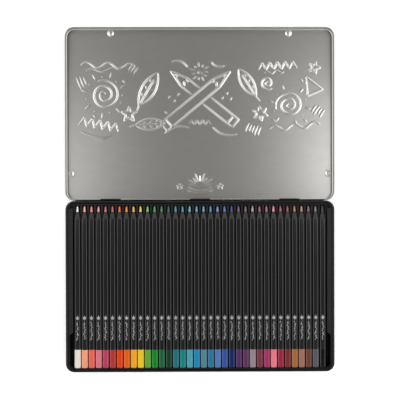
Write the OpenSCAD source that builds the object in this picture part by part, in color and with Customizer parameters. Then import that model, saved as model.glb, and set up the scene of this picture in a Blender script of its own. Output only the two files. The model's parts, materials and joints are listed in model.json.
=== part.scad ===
// Flat hinged tin of coloured pencils, lying open.
// X runs along the row of pencils, +Y from the front of the tin to the opened lid, +Z up.
// The origin is the middle of the base's underside. All sizes are in millimetres.

/* [Pencils] */
// Number of pencils in the row
pencil_count = 36; // [24:1:48]
// Length of a new, sharpened pencil
pencil_len = 175; // [140:1:190]
// Width of a pencil's flat side, over its rounded corners
pencil_w = 7.2; // [6.4:0.1:9]
// Radius of a pencil's rounded corners
pencil_corner_r = 1.6; // [1.2:0.1:2.2]
// Gap between two neighbouring pencils
pencil_gap = 0.37; // [0.2:0.01:1.5]
// Diameter of the colour core
core_d = 3.3; // [2:0.1:4]
// Gap around the core in its wooden casing
core_fit = 0.02; // [0.01:0.01:0.05]
// Wood left behind the core at the blunt end
core_cover = 1; // [0.5:0.1:5]
// Diameter of the blunted point
point_d = 0.9; // [0.4:0.1:1.4]
// Length of bare core in front of the wood
core_show = 6.8; // [4:0.1:9]
// Length of the coloured blunt end
dip_len = 20; // [8:0.5:40]
// Bevel around the blunt end
end_bevel = 0.5; // [0.2:0.1:1]

/* [Tray] */
// Thickness of the formed plastic sheet
tray_t = 0.6; // [0.4:0.05:0.9]
// Gap between the tray and the curled rim around it
tray_gap = 0.5; // [0.3:0.1:1.5]
// Gap between the tray's feet and the tin's floor
tray_seat_gap = 0.05; // [0.02:0.01:0.2]
// Width of the flat flange along each side of the row
flange_w = 4.7; // [3:0.1:10]
// Width of the step between a flange and the nearest groove
flange_step_w = 1.14; // [0.8:0.02:3]
// Width of the narrow lip that runs all round the tray
lip_w = 1.1; // [0.9:0.1:2]
// Depth of the flange below the top of the rim
flange_below_rim = 1; // [0.5:0.1:2]
// Flat width on top of the ridges between the grooves
ridge_w = 2; // [1.2:0.1:3]
// Gap between a pencil and its groove
groove_gap = 0.1; // [0.05:0.05:0.3]
// Length of the finger trough under the blunt ends
trough_len = 39.6; // [25:0.2:60]
// Depth of the finger trough below the pencils
trough_depth = 4.4; // [4.2:0.1:8]
// Free length in front of the points
tip_gap = 2; // [1:0.1:5]
// Length of the low ledge beside the points, where the side flanges stop short
ledge_len = 3.9; // [2:0.1:12]
// Free length behind the blunt ends
end_gap = 0.5; // [0.3:0.1:2]

/* [Tin base] */
// Thickness of the tin sheet, base and lid
sheet_t = 0.3; // [0.2:0.05:0.5]
// Radius of the base's corners, seen from above
corner_r = 9; // [7.5:0.5:14]
// Radius of the fold between floor and walls
floor_fold_r = 1.5; // [0.8:0.1:3]
// Diameter of the inward curl of the rim
rim_d = 2.4; // [1.6:0.1:3]
// Depth of the pencils' flat sides below the rim
pencil_below_rim = 1.4; // [0.8:0.1:5]
// Width of a snap bump on the front wall
bump_w = 15; // [8:0.5:30]
// Height of a snap bump
bump_h = 2.5; // [1.6:0.1:3]
// Height by which a snap bump stands out of the wall
bump_proud = 0.6; // [0.4:0.05:0.8]
// Distance from the side of the base to the middle of a snap bump
bump_from_side = 76.2; // [40:0.2:90]

/* [Lid] */
// Gap between the base's side walls and the lid's hem
lid_side_gap = 0.35; // [0.25:0.05:1.5]
// Gap between the snap bumps and the lid's hem
snap_gap = 0.1; // [0.1:0.05:0.5]
// Gap between the two layers of the folded hem
hem_gap = 0.05; // [0.02:0.01:0.2]
// Height of the folded hem
hem_h = 1.9; // [1.2:0.1:2.4]
// Room between the rim and the closed lid's panel
lid_headroom = 1.3; // [1:0.1:3]
// Radius of the fold between the lid's panel and skirt
lid_fold_r = 1.8; // [1:0.1:3]
// Width of the round dents that space the lid from the rim
dent_w = 7; // [5:0.5:9]
// Gap between a dent and the level of the rim
dent_gap = 0.1; // [0.05:0.05:0.3]
// Distance from the side of the lid to a dent in its front edge
dent_from_side = 49; // [30:1:70]
// Distance from the hinge line to a dent in the lid's side edge
dent_from_hinge = 28.6; // [20:0.2:60]

/* [Hinge] */
// Radius of the lid's rolled rear edge, which is the hinge pin
roll_r = 0.8; // [0.7:0.05:1.1]
// Gap between the rolled edge and the tabs around it
hinge_gap = 0.08; // [0.04:0.01:0.1]
// Gap between the tabs and the base's rear wall
hinge_wall_gap = 0.12; // [0.1:0.01:0.5]
// Width of a hinge tab
tab_w = 22; // [12:0.5:30]
// Distance from the side of the base to the middle of an outer tab
tab_from_side = 48; // [25:1:70]
// Room around a tab in its window in the lid's skirt
window_gap = 0.4; // [0.25:0.05:1]

/* [Hidden] */
$fn = 96;
far = 20; // longer than any section drawn here

// pencils
core_r = core_d / 2;
point_r = point_d / 2;
section_side = pencil_w - 2 * pencil_corner_r; // triangle through the centres of the corners
section_h = section_side * sin(60);
pencil_h = section_h + 2 * pencil_corner_r;
axis_up = pencil_corner_r + section_h * 2 / 3; // from the lowest corner up to the axis
sharp_slope = (core_r - point_r) / core_show;
outer_r = section_side / sqrt(3) + pencil_corner_r; // farthest wood from the axis
sharp_len = (outer_r - point_r) / sharp_slope;
pitch = pencil_w + pencil_gap;
row_w = pencil_count * pitch;

// tray, from the row outwards
flange_in_x = row_w / 2 + flange_step_w;
tray_x = flange_in_x + flange_w;
inner_y = (pencil_len + tip_gap + end_gap) / 2;
tray_y = inner_y + tray_t;
tip_y = inner_y - tip_gap;
ledge_y = inner_y - ledge_len;
trough_y = -inner_y + trough_len;

// base, around the tray
base_x = tray_x + tray_gap + rim_d;
base_y = tray_y + tray_gap + rim_d;
rim_r = rim_d / 2;
tray_corner_r = corner_r - rim_d - tray_gap;

// heights, from the floor up
tray_z = sheet_t + tray_seat_gap;
pencil_z = tray_z + tray_t + trough_depth;
base_h = pencil_z + pencil_h + pencil_below_rim;
tray_top_z = base_h - flange_below_rim;
groove_z = pencil_z - groove_gap;
groove_half = (pencil_corner_r + groove_gap) * tan(30);
ridge_half = pitch / 2 - ridge_w / 2; // from a groove's middle to the edge of its ridge
ridge_z = groove_z + (ridge_half - groove_half) * tan(60);
closed_h = base_h + lid_headroom + sheet_t;

// hinge: half way up, so that the opened lid lies on the same surface as the base
ring_in_r = roll_r + hinge_gap;
ring_out_r = ring_in_r + sheet_t;
hinge_y = base_y + hinge_wall_gap + ring_out_r;
hinge_z = closed_h / 2;
tab_xs = [-(base_x - tab_from_side), 0, base_x - tab_from_side];
ring_open = [150, 270]; // open part of a tab's curl, measured from +Y over the top
roll_open = [122, 180]; // open part of the lid's roll, measured from the inside over the top
rim_open = [180, 230]; // open part of the base's rim curl, measured the same way

// lid, drawn closed
hem_t = 2 * sheet_t + hem_gap;
lid_x = base_x + lid_side_gap + hem_t;
lid_front_y = -(base_y + bump_proud + snap_gap + hem_t);
lid_rear_y = hinge_y + roll_r;
lid_corner_r = corner_r + lid_side_gap + hem_t;
lid_edge_z = hinge_z - roll_r;
dent_depth = lid_headroom - dent_gap;
dent_r = (pow(dent_w / 2, 2) + pow(dent_depth, 2)) / (2 * dent_depth);
dent_inset = lid_fold_r + dent_w / 2;

// snap bumps, just above the closed lid's hem
bump_r = (pow(bump_h / 2, 2) + pow(bump_proud, 2)) / (2 * bump_proud);
bump_z = lid_edge_z + hem_h + hem_gap + bump_h / 2;

black = [0.07, 0.07, 0.08];
tin = [0.66, 0.65, 0.63];
plastic = [0.12, 0.12, 0.13];
end_colours = [
  "antiquewhite", "sandybrown", "salmon", "palevioletred", "mediumvioletred", "firebrick",
  "orangered", "darkorange", "orange", "gold", "yellowgreen", "forestgreen",
  "seagreen", "darkgreen", "teal", "darkcyan", "cadetblue", "deepskyblue",
  "lightslategray", "steelblue", "cornflowerblue", "royalblue", "navy", "rebeccapurple",
  "indigo", "thistle", "maroon", "darkmagenta", "lightcoral", "crimson",
  "brown", "peru", "rosybrown", "sienna", "dimgray", "black"
];

function pencil_name(i) = str("pencil_", i < 10 ? "0" : "", i);
function pencil_x(i) = (i - (pencil_count + 1) / 2) * pitch;
function turned(a, r) = [r * cos(a), r * sin(a)];

// A bent sheet's upper line and the same line one thickness below it
function up_from(a, b) = [a.y - b.y, b.x - a.x] / norm(b - a);
function below(path, t) = [
  for (k = [0 : len(path) - 1])
    let (
      before = up_from(path[max(k - 1, 0)], path[max(k, 1)]),
      after = up_from(path[min(k, len(path) - 2)], path[min(k + 1, len(path) - 1)])
    )
    path[k] - t * (before + after) / (1 + before * after)
];
function reversed(path) = [for (k = [len(path) - 1 : -1 : 0]) path[k]];

// ---- sections and plans ----

// A rectangle with round corners, seen from above
module plan(x, front, rear, r) {
  translate([-x, front + r]) square([2 * x, rear - front - 2 * r]);
  translate([-(x - r), front]) square([2 * (x - r), rear - front]);
  for (side = [-1, 1], y = [front + r, rear - r]) translate([side * (x - r), y]) circle(r);
}

// Sheet bent to a ring of outer radius r, open between two angles
module curl(r, t, open) {
  difference() {
    circle(r);
    circle(r - t);
    polygon([[0, 0], turned(open[0], far), turned((open[0] + open[1]) / 2, far), turned(open[1], far)]);
  }
}

// Quarter fold of outer radius r that joins a wall at its left with a floor below it
module fold(r, t) {
  difference() {
    translate([r, r]) circle(r);
    translate([r, r]) circle(r - t);
    translate([r, -far]) square(2 * far);
    translate([-far, r]) square(2 * far);
  }
}

// Walls around a plan: the first child is their section and the second the rear wall's,
// drawn with the outer face on the vertical axis and the inside to the right
module walls(x, front, rear, r) {
  for (side = [0, 1]) mirror([side, 0, 0]) {
    translate([x, rear - r, 0]) rotate([90, 0, 0]) linear_extrude(rear - front - 2 * r) mirror([1, 0]) children(0);
    translate([x - r, rear - r, 0]) rotate_extrude(angle = 90) translate([r, 0]) mirror([1, 0]) children(0);
    translate([x - r, front + r, 0]) rotate([0, 0, -90]) rotate_extrude(angle = 90)
      translate([r, 0]) mirror([1, 0]) children(0);
  }
  translate([-(x - r), front, 0]) rotate([90, 0, 90]) linear_extrude(2 * (x - r)) children(0);
  translate([-(x - r), rear, 0]) mirror([0, 1, 0]) rotate([90, 0, 90]) linear_extrude(2 * (x - r)) children(1);
}

// ---- tin base ----

module base_wall_section() {
  fold(floor_fold_r, sheet_t);
  translate([0, floor_fold_r]) square([sheet_t, base_h - rim_r - floor_fold_r]);
  translate([rim_r, base_h - rim_r]) curl(rim_r, sheet_t, rim_open);
}

// Long round-ended body whose cap of height bump_proud shows outside the wall
module bump_body(r) {
  half = (bump_w - bump_h) / 2;
  rotate([0, 90, 0]) cylinder(r = r, h = 2 * half, center = true);
  for (side = [-1, 1]) translate([side * half, 0, 0]) sphere(r);
}

module at_bumps() {
  for (side = [-1, 1])
    translate([side * (base_x - bump_from_side), -base_y - bump_proud + bump_r, bump_z]) children();
}

// Everything in front of a plane that lies this far behind the front wall's outer face
module front_of(depth) {
  translate([-base_x, -base_y + depth - far, 0]) cube([2 * base_x, far, base_h]);
}

module hinge_tab() {
  rotate([90, 0, 90]) linear_extrude(tab_w, center = true) {
    translate([hinge_y, hinge_z]) curl(ring_out_r, sheet_t, ring_open);
    translate([base_y - sheet_t, hinge_z - ring_out_r]) square([hinge_y - base_y + sheet_t, sheet_t]);
  }
}

module base_shell() {
  color(black) difference() {
    union() {
      walls(base_x, -base_y, base_y, corner_r) {
        base_wall_section();
        base_wall_section();
      }
      linear_extrude(sheet_t) plan(
        base_x - floor_fold_r, floor_fold_r - base_y, base_y - floor_fold_r, corner_r - floor_fold_r
      );
      for (x = tab_xs) translate([x, 0, 0]) hinge_tab();
      intersection() {
        at_bumps() bump_body(bump_r);
        front_of(sheet_t / 2);
      }
    }
    intersection() {
      at_bumps() bump_body(bump_r - sheet_t);
      front_of(1.2 * sheet_t);
    }
  }
}

// ---- lid ----

module lid_fold_and_skirt(edge_z) {
  translate([0, closed_h]) mirror([0, 1]) fold(lid_fold_r, sheet_t);
  translate([0, edge_z]) square([sheet_t, closed_h - lid_fold_r - edge_z]);
}

module lid_hem_section() {
  hem_r = hem_t / 2;
  lid_fold_and_skirt(lid_edge_z + hem_h);
  translate([0, lid_edge_z + hem_r]) square([hem_t, hem_h - hem_r]);
  translate([hem_r, lid_edge_z + hem_r]) difference() {
    circle(hem_r);
    translate([-far / 2, 0]) square(far);
  }
}

module lid_roll_section() {
  lid_fold_and_skirt(hinge_z);
  translate([roll_r, hinge_z]) curl(roll_r, sheet_t, roll_open);
}

module at_dents() {
  for (side = [-1, 1]) {
    translate([side * (lid_x - dent_from_side), lid_front_y + dent_inset, closed_h - dent_depth + dent_r]) children();
    translate([side * (lid_x - dent_inset), hinge_y - dent_from_hinge, closed_h - dent_depth + dent_r]) children();
  }
}

module hinge_windows() {
  for (x = tab_xs)
    translate([x - tab_w / 2 - window_gap, hinge_y + roll_r - 1.2 * sheet_t, hinge_z])
      cube([tab_w + 2 * window_gap, far, ring_out_r + window_gap]);
}

module closed_lid() {
  difference() {
    union() {
      walls(lid_x, lid_front_y, lid_rear_y, lid_corner_r) {
        lid_hem_section();
        lid_roll_section();
      }
      translate([0, 0, closed_h - sheet_t]) linear_extrude(sheet_t) plan(
        lid_x - lid_fold_r, lid_front_y + lid_fold_r, lid_rear_y - lid_fold_r, lid_corner_r - lid_fold_r
      );
      intersection() {
        at_dents() sphere(dent_r + sheet_t);
        translate([-lid_x, lid_front_y, 0]) cube([2 * lid_x, lid_rear_y - lid_front_y, closed_h - sheet_t / 2]);
      }
    }
    at_dents() sphere(dent_r);
    hinge_windows();
  }
}

module lid_shell() {
  color(tin) translate([0, hinge_y, hinge_z]) rotate([180, 0, 0]) translate([0, -hinge_y, -hinge_z]) closed_lid();
}

// ---- tray ----

// Upper line of the grooved sheet, seen along the pencils, with its edges at this height
function tray_line(edge_z) = concat(
  [[-tray_x + tray_t / 2, edge_z], [-flange_in_x, edge_z], [-flange_in_x + flange_step_w / 2, ridge_z]],
  [
    for (i = [1 : pencil_count])
      each [
        [pencil_x(i) - ridge_half, ridge_z], [pencil_x(i) - groove_half, groove_z],
        [pencil_x(i) + groove_half, groove_z], [pencil_x(i) + ridge_half, ridge_z]
      ]
  ],
  [[flange_in_x - flange_step_w / 2, ridge_z], [flange_in_x, edge_z], [tray_x - tray_t / 2, edge_z]]
);

// A section across the row, drawn out from y0 to y1
module along_pencils(y0, y1) {
  translate([0, y1, 0]) rotate([90, 0, 0]) linear_extrude(y1 - y0) children();
}

module grooved_sheet() {
  flanged = tray_line(tray_top_z);
  ledged = tray_line(ridge_z);
  along_pencils(trough_y, ledge_y) polygon(concat(flanged, reversed(below(flanged, tray_t))));
  along_pencils(ledge_y - tray_t, ledge_y) polygon(concat(flanged, reversed(below(ledged, tray_t))));
  along_pencils(ledge_y - tray_t, inner_y + tray_t / 2) polygon(concat(ledged, reversed(below(ledged, tray_t))));
}

module trough_wall() {
  along_pencils(trough_y, trough_y + tray_t)
    polygon(concat([[-tray_x + tray_t / 2, tray_z]], tray_line(tray_top_z), [[tray_x - tray_t / 2, tray_z]]));
}

module tray_plan(inset) {
  plan(tray_x - inset, -tray_y + inset, tray_y - inset, tray_corner_r - inset);
}

module pencil_tray() {
  color(plastic) union() {
    intersection() {
      union() {
        grooved_sheet();
        trough_wall();
        translate([-tray_x, -tray_y, tray_z]) cube([2 * tray_x, trough_y + tray_t + tray_y, tray_t]);
      }
      linear_extrude(base_h) tray_plan(tray_t / 2);
    }
    translate([0, 0, tray_z]) linear_extrude(tray_top_z - tray_z) difference() {
      tray_plan(0);
      tray_plan(tray_t);
    }
    translate([0, 0, tray_top_z - tray_t]) linear_extrude(tray_t) difference() {
      tray_plan(0);
      tray_plan(lip_w);
    }
  }
}

// ---- pencils ----

// Rounded triangle with its flat side up, its axis at the origin
module pencil_section() {
  corners = [for (a = [-90, 30, 150]) turned(a, section_side / sqrt(3))];
  flats = [-30, 90, 210]; // the way each flat side faces
  polygon([
    for (k = [0 : 2]) each [
      corners[k] + turned(flats[(k + 2) % 3], pencil_corner_r), corners[k] + turned(flats[k], pencil_corner_r)
    ]
  ]);
  for (corner = corners) translate(corner) circle(pencil_corner_r);
}

// Half section of the sharpened and bevelled pencil: radius against distance from the point
module sharpened_half() {
  polygon([
    [0, 0], [point_r, 0], [outer_r, sharp_len],
    [outer_r, pencil_len - end_bevel], [outer_r - end_bevel, pencil_len], [0, pencil_len]
  ]);
}

module wood(from, to) {
  difference() {
    intersection() {
      translate([0, 0, from]) linear_extrude(to - from) pencil_section();
      rotate_extrude() sharpened_half();
    }
    translate([0, 0, -1]) cylinder(r = core_r + core_fit, h = pencil_len - core_cover + core_fit + 1);
  }
}

module core() {
  rotate_extrude() polygon([
    [0, 0], [point_r, 0], [core_r, core_show], [core_r, pencil_len - core_cover], [0, pencil_len - core_cover]
  ]);
}

module pencil(i) {
  end_colour = end_colours[(i - 1) % len(end_colours)];
  translate([pencil_x(i), tip_y, pencil_z + axis_up]) rotate([90, 0, 0]) {
    union() {
      color(black) wood(0, pencil_len - dip_len);
      color(end_colour) wood(pencil_len - dip_len, pencil_len);
    }
    color(end_colour) core();
  }
}

base_shell();
lid_shell();
pencil_tray();
for (i = [1 : pencil_count])
  pencil(i);
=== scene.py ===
import json
import math
import random

import bpy
import numpy as np
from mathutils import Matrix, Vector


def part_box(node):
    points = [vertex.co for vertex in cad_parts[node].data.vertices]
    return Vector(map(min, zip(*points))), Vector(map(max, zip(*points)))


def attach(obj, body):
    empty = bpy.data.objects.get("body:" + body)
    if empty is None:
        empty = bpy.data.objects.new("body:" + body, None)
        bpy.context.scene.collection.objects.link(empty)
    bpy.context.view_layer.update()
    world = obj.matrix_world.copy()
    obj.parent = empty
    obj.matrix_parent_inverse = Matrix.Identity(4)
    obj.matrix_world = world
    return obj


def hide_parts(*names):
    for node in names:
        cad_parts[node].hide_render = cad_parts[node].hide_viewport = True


# Open tin of coloured pencils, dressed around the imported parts.
# Sizes of the pieces are in millimetres and become metres when a mesh is made.
# The materials' ranges and the studio are in metres, as in the scene.

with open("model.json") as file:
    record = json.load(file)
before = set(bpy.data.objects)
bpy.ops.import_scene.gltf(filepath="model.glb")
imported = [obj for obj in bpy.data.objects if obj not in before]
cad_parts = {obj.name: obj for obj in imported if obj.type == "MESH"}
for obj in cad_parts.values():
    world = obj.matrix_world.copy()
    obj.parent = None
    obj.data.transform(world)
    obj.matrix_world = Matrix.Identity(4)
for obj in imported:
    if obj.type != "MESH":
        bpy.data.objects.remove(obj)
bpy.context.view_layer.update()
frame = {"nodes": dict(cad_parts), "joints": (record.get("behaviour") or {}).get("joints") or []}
print("frame loaded:", len(frame["nodes"]), "parts")

metre = 0.001
weldGap = 2e-8  # in metres: closer points become one vertex


def partBox(node):
    low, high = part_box(node)
    return [v / metre for v in low], [v / metre for v in high]


lidHinge = next(joint for joint in frame["joints"] if joint["name"] == "lid_hinge")
hingeY, hingeZ = (v / metre for v in lidHinge["pos_m"][1:])
tabs = {"places": [-97.0, 0.0, 97.0], "width": 22.0, "innerRadius": 0.88, "room": 0.4, "cells": 24}


def newPart():
    return {"points": [], "faces": [], "slots": [], "count": 0}


def addGrid(part, points, slot, present=None, loop=False, flip=False):
    rows, cols = points.shape[:2]
    index = part["count"] + np.arange(rows * cols).reshape(rows, cols)
    here = index if loop else index[:-1]
    there = np.roll(index, -1, axis=0) if loop else index[1:]
    quads = np.stack([here[:, :-1], there[:, :-1], there[:, 1:], here[:, 1:]], axis=-1)
    if flip:
        quads = quads[..., ::-1]
    keep = np.ones(quads.shape[:2], bool) if present is None else present
    part["points"].append(points.reshape(-1, 3))
    part["faces"].append(quads[keep])
    part["slots"].append(np.broadcast_to(slot, quads.shape[:2])[keep])
    part["count"] += rows * cols


def addQuads(part, corners, slot):
    # corners (n, 4, 3)
    n = len(corners)
    part["points"].append(corners.reshape(-1, 3))
    part["faces"].append(part["count"] + np.arange(4 * n).reshape(n, 4))
    part["slots"].append(np.full(n, slot))
    part["count"] += 4 * n


def addSheet(part, inner, outer, outerSlots=0, present=None, loop=False, openEnd=False):
    # two faces of a bent sheet, and the cut edges around whatever cells are present
    rows, cols = inner.shape[0] - (not loop), inner.shape[1] - 1
    if present is None:
        present = np.ones((rows, cols), bool)
    addGrid(part, inner, 0, present, loop)
    addGrid(part, outer, outerSlots, present, loop, flip=True)
    blank = np.zeros((rows, 1), bool)
    before, after = np.hstack([blank, present]), np.hstack([present, blank])
    starts, ends = after & ~before, before & ~after
    if openEnd:
        starts[:, -1] = ends[:, -1] = False
    if loop:
        left, right = np.roll(present, 1, axis=0), present
    else:
        blank = np.zeros((1, cols), bool)
        left, right = np.vstack([blank, present]), np.vstack([present, blank])
    nextInner, nextOuter = (np.roll(face, -1, axis=0)[:rows] for face in (inner, outer))
    along = [inner[:rows], outer[:rows], nextOuter, nextInner]
    across = [inner[:, :-1], outer[:, :-1], outer[:, 1:], inner[:, 1:]]
    for mask, corners, way in (
        (starts, along, 1), (ends, along, -1), (right & ~left, across, -1), (left & ~right, across, 1),
    ):
        if mask.any():
            addQuads(part, np.stack([corner[mask] for corner in corners], axis=1)[:, ::way], 0)


def finishPart(name, part, materials, body, node, smooth):
    points = np.concatenate(part["points"]) * metre
    faces = np.concatenate(part["faces"])
    slots = np.concatenate(part["slots"]).astype(np.int32)
    cells = np.round(points / weldGap).astype(np.int64)
    _, first, back = np.unique(cells, axis=0, return_index=True, return_inverse=True)
    order = np.argsort(np.argsort(first))
    points, faces = points[np.sort(first)], order[back.reshape(-1)][faces]
    # a quad with one side of no length becomes a triangle, and one with more is left out
    same = np.stack([faces[:, a] == faces[:, (a + 1) % 4] for a in range(4)], axis=1)
    short = same.sum(axis=1)
    clean = faces[short == 0].tolist()
    cleanSlots = slots[short == 0].tolist()
    for face, slot, twice in zip(faces[short == 1], slots[short == 1], same[short == 1]):
        clean.append([v for v, dropped in zip(face.tolist(), twice) if not dropped])
        cleanSlots.append(int(slot))
    mesh = bpy.data.meshes.new(name)
    mesh.from_pydata(points.tolist(), [], clean)
    for material in materials:
        mesh.materials.append(material)
    mesh.polygons.foreach_set("material_index", cleanSlots)
    mesh.polygons.foreach_set("use_smooth", [True] * len(clean))
    mesh.validate()
    mesh.update()
    mesh.set_sharp_from_angle(angle=math.radians(smooth))
    piece = bpy.data.objects.new(name, mesh)
    bpy.context.scene.collection.objects.link(piece)
    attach(piece, body)
    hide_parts(node)
    return piece


def arc(centre, radius, start, end, cells):
    # middle line of a bend, with the direction of its hollow side
    a = np.radians(np.linspace(start, end, cells + 1))
    way = np.stack([np.cos(a), np.sin(a)], axis=1)
    return np.hstack([np.array(centre) + radius * way, -way])


def straight(start, end, cells):
    share = np.linspace(0, 1, cells + 1)[:, None]
    start, end = np.array(start, float), np.array(end, float)
    along = (end - start) / np.linalg.norm(end - start)
    line = start + share * (end - start)
    return np.hstack([line, np.broadcast_to([-along[1], along[0]], line.shape)])


def chain(*pieces):
    return np.vstack([p[:-1] for p in pieces[:-1]] + [pieces[-1]])


def lines(low, high, stops, zones, coarse):
    # places from low to high that meet every stop, closer together inside the zones
    marks = {low, high, *stops, *(edge for zone in zones for edge in zone[:2])}
    marks = sorted(m for m in marks if low <= m <= high)
    out = [low]
    for a, b in zip(marks, marks[1:]):
        if b - a < 1e-6:
            continue
        step = min([coarse] + [zone[2] for zone in zones if zone[0] <= (a + b) / 2 <= zone[1]])
        cells = 2 * max(1, math.ceil((b - a) / step / 2 - 1e-6))
        out += [a + (b - a) * (k + 1) / cells for k in range(cells)]
    return np.array(out)


def roundedGrid(xs, ys, radius):
    # straight lines inside, drawn in towards round corners at the outline
    flatX, flatY = np.meshgrid(xs, ys)
    middle = [(xs[0] + xs[-1]) / 2, (ys[0] + ys[-1]) / 2]
    half = [(xs[-1] - xs[0]) / 2 - radius, (ys[-1] - ys[0]) / 2 - radius]
    offX, offY = flatX - middle[0], flatY - middle[1]
    a = np.clip((np.abs(offX) - half[0]) / radius, 0, 1)
    b = np.clip((np.abs(offY) - half[1]) / radius, 0, 1)
    x = np.where(a > 0, np.sign(offX) * (half[0] + radius * a * np.sqrt(1 - b * b / 2)), offX) + middle[0]
    y = np.where(b > 0, np.sign(offY) * (half[1] + radius * b * np.sqrt(1 - a * a / 2)), offY) + middle[1]
    return x, y


def outline(*grids):
    # one row for each point once around the grids, with its value in each grid
    around = [np.concatenate([g[0, :], g[1:, -1], g[-1, -2::-1], g[-2:0:-1, 0]]) for g in grids]
    return np.stack(around, axis=1)


def outwards(xs, ys, radius, at):
    # direction away from the middle at each point of the outline
    middle = np.array([(xs[0] + xs[-1]) / 2, (ys[0] + ys[-1]) / 2])
    half = np.array([(xs[-1] - xs[0]) / 2 - radius, (ys[-1] - ys[0]) / 2 - radius])
    off = at - middle
    way = np.sign(off) * np.clip(np.abs(off) - half, 0, None)
    return way / np.linalg.norm(way, axis=1)[:, None]


def swept(at, way, depth, section, side, thickness):
    # section (k, 4) or (s, k, 4): inset, height and the direction of the hollow side
    if section.ndim == 2:
        section = np.broadcast_to(section, (len(at),) + section.shape)
    inset = section[..., 0] + side * section[..., 2] * thickness / 2
    height = section[..., 1] + side * section[..., 3] * thickness / 2
    xy = at[:, None, :] + way[:, None, :] * (depth - inset)[..., None]
    return np.concatenate([xy, height[..., None]], axis=2)


def put(tree, kind, values=None, **settings):
    node = tree.nodes.new(kind)
    for key, value in settings.items():
        setattr(node, key, value)
    for key, value in (values or {}).items():
        if isinstance(value, bpy.types.NodeSocket):
            tree.links.new(value, node.inputs[key])
        else:
            node.inputs[key].default_value = value
    return node


def maths(tree, operation, a, b=0.0, c=0.0):
    return put(tree, "ShaderNodeMath", {0: a, 1: b, 2: c}, operation=operation).outputs[0]


def times(tree, a, b):
    return maths(tree, "MULTIPLY", a, b)


def timesPlus(tree, a, b, c):
    return maths(tree, "MULTIPLY_ADD", a, b, c)


def minus(tree, a, b):
    return maths(tree, "SUBTRACT", a, b)


def larger(tree, a, b):
    return maths(tree, "MAXIMUM", a, b)


def mixColours(tree, share, a, b):
    return put(tree, "ShaderNodeMix", {0: share, 6: a, 7: b}, data_type="RGBA").outputs[2]


def shadeOver(tree, share, base, shade):
    return mixColours(tree, share, base, (*shade, 1))


def fitRange(tree, value, low, high, newLow=0.0, newHigh=1.0):
    values = {0: value, 1: low, 2: high, 3: newLow, 4: newHigh}
    return put(tree, "ShaderNodeMapRange", values, interpolation_type="SMOOTHSTEP").outputs[0]


def onObject(tree):
    return put(tree, "ShaderNodeTexCoord").outputs["Object"]


def stretched(tree, at, scales):
    return put(tree, "ShaderNodeVectorMath", {0: at, 1: scales}, operation="MULTIPLY").outputs[0]


def axes(tree, way):
    return put(tree, "ShaderNodeSeparateXYZ", {0: way}).outputs


def noise(tree, at, scale, detail, roughness=0.5):
    values = {"Vector": at, "Scale": scale, "Detail": detail, "Roughness": roughness}
    return put(tree, "ShaderNodeTexNoise", values).outputs[0]


def newGroup(name, build, **inputs):
    # a default of one, three or four values makes the socket a number, a vector or a colour
    group, kinds = bpy.data.node_groups.new(name, "ShaderNodeTree"), {1: "Float", 3: "Vector", 4: "Color"}
    for label, value in inputs.items():
        kind = kinds[np.size(value)]
        socket = group.interface.new_socket(name=label, in_out="INPUT", socket_type="NodeSocket" + kind)
        socket.default_value = value
    found = build(group, group.nodes.new("NodeGroupInput").outputs)
    for label in found:
        kind = "Color" if label == "Colour" else "Float"
        group.interface.new_socket(name=label, in_out="OUTPUT", socket_type="NodeSocket" + kind)
    result = group.nodes.new("NodeGroupOutput").inputs
    for label, socket in found.items():
        group.links.new(socket, result[label])
    return group


def place(tree, group, values):
    return put(tree, "ShaderNodeGroup", values, node_tree=group).outputs


effects = {
    "mottleScale": 9.0, "mottle": 0.35, "toneRange": (0.35, 0.65), "grainRoughness": 0.6,
    "scratches": ((0.5, (40, 1500, 40)), (-0.9, (30, 1200, 30)), (1.9, (25, 1700, 25))),
    "scratchRange": (0.71, 0.76), "scratchPatches": 25.0, "scratchPatchRange": (0.5, 0.62),
    "wearFrom": 0.53, "wearPatches": 420.0, "wearRange": (0.48, 0.62),
    "speckRange": (0.16, 0.06), "dustPatches": 60.0, "dustRange": (0.45, 0.7), "dustUp": (0.2, 0.9),
}


def buildTone(tree, given):
    # slow drift between two tones, with a finer mottle on top
    at = stretched(tree, onObject(tree), given["Spots"])
    slow, fine = noise(tree, at, 1.0, 3.0), noise(tree, at, effects["mottleScale"], 2.0)
    both = timesPlus(tree, fine, effects["mottle"], times(tree, slow, 1 - effects["mottle"]))
    share = times(tree, fitRange(tree, both, *effects["toneRange"]), given["Amount"])
    return {"Colour": mixColours(tree, share, given["Colour"], given["Tone"]), "Value": both}


def buildGrain(tree, given):
    # drawn or rolled grain: noise pulled out along one direction
    at = stretched(tree, onObject(tree), given["Stretch"])
    grain = noise(tree, at, 1.0, 4.0, effects["grainRoughness"])
    return {"Value": timesPlus(tree, minus(tree, grain, 0.5), given["Contrast"], 0.5), "Height": grain}


def buildScratches(tree, given):
    # few hair-thin marks that run in three directions
    at, found = onObject(tree), 0.0
    for turn, scales in effects["scratches"]:
        values = {"Vector": at, "Angle": turn}
        turned = put(tree, "ShaderNodeVectorRotate", values, rotation_type="Z_AXIS").outputs[0]
        thin = noise(tree, stretched(tree, turned, scales), given["Size"], 1.0)
        found = larger(tree, fitRange(tree, thin, *effects["scratchRange"]), found)
    patches = noise(tree, at, effects["scratchPatches"], 1.0)
    kept = times(tree, fitRange(tree, patches, *effects["scratchPatchRange"]), given["Density"])
    return {"Mask": times(tree, found, kept)}


def buildWear(tree, given):
    # lacquer rubbed thin on sharp edges, broken up by noise
    edge, start = put(tree, "ShaderNodeNewGeometry").outputs["Pointiness"], effects["wearFrom"]
    edge = fitRange(tree, edge, start, maths(tree, "ADD", start, given["Reach"]))
    broken = fitRange(tree, noise(tree, onObject(tree), effects["wearPatches"], 4.0), *effects["wearRange"])
    return {"Mask": times(tree, times(tree, edge, broken), given["Amount"])}


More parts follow.
